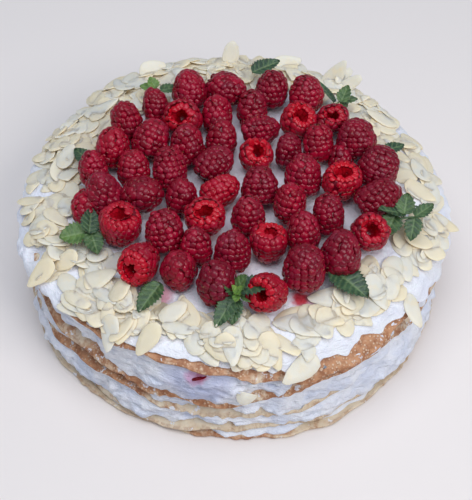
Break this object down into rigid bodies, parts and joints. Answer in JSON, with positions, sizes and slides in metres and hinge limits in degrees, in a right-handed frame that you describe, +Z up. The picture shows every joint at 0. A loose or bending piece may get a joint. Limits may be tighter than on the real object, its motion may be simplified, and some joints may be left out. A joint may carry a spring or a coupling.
{
  "type": "crepe cake",
  "caption": "Round layered crepe cake with cream between the crepes, a cream top edged with flaked almonds, and a crown of raspberries with mint leaves.",
  "frame": {"origin": "middle of the underside, on the surface that the cake stands on", "axes": "+Z up through the layers, -Y towards the front, +X to the right as seen from the front"},
  "size_m": [0.242, 0.2465, 0.0879],
  "materials": {
    "crepe": "thin fried crepe, golden brown and lacy on its faces with pale freckles, cream-yellow where it was not browned",
    "cream": "soft whipped cream, white with smeared ridges, tinted pink where a berry touches it",
    "raspberry": "fresh raspberry, deep crimson drupelets with a soft bloom and fine golden hairs",
    "almond": "raw flaked almond, ivory and slightly translucent",
    "mint": "fresh mint leaf, dark green with sunken veins and a saw-toothed edge"
  },
  "bodies": {
    "root": {"cream_1": "cream", "cream_2": "cream", "cream_3": "cream", "cream_4": "cream", "cream_top": "cream", "crepe_1": "crepe", "crepe_2": "crepe", "crepe_3": "crepe", "crepe_4": "crepe", "crepe_5": "crepe", "raspberry_a1": "raspberry", "raspberry_a10": "raspberry", "raspberry_a11": "raspberry", "raspberry_a12": "raspberry", "raspberry_a13": "raspberry", "raspberry_a14": "raspberry", "raspberry_a2": "raspberry", "raspberry_a3": "raspberry", "raspberry_a4": "raspberry", "raspberry_a5": "raspberry", "raspberry_a6": "raspberry", "raspberry_a7": "raspberry", "raspberry_a8": "raspberry", "raspberry_a9": "raspberry", "raspberry_b1": "raspberry", "raspberry_b10": "raspberry", "raspberry_b12": "raspberry", "raspberry_b13": "raspberry", "raspberry_b14": "raspberry", "raspberry_b15": "raspberry", "raspberry_b16": "raspberry", "raspberry_b2": "raspberry", "raspberry_b3": "raspberry", "raspberry_b4": "raspberry", "raspberry_b5": "raspberry", "raspberry_b6": "raspberry", "raspberry_b7": "raspberry", "raspberry_b8": "raspberry", "raspberry_b9": "raspberry", "raspberry_c1": "raspberry", "raspberry_c10": "raspberry", "raspberry_c11": "raspberry", "raspberry_c12": "raspberry", "raspberry_c2": "raspberry", "raspberry_c3": "raspberry", "raspberry_c4": "raspberry", "raspberry_c5": "raspberry", "raspberry_c6": "raspberry", "raspberry_c7": "raspberry", "raspberry_c8": "raspberry", "raspberry_c9": "raspberry", "raspberry_d1": "raspberry", "raspberry_d2": "raspberry", "raspberry_d3": "raspberry", "raspberry_d4": "raspberry", "raspberry_d5": "raspberry", "raspberry_d6": "raspberry", "raspberry_d7": "raspberry", "raspberry_d8": "raspberry", "raspberry_d9": "raspberry"}
  },
  "joints": []
}
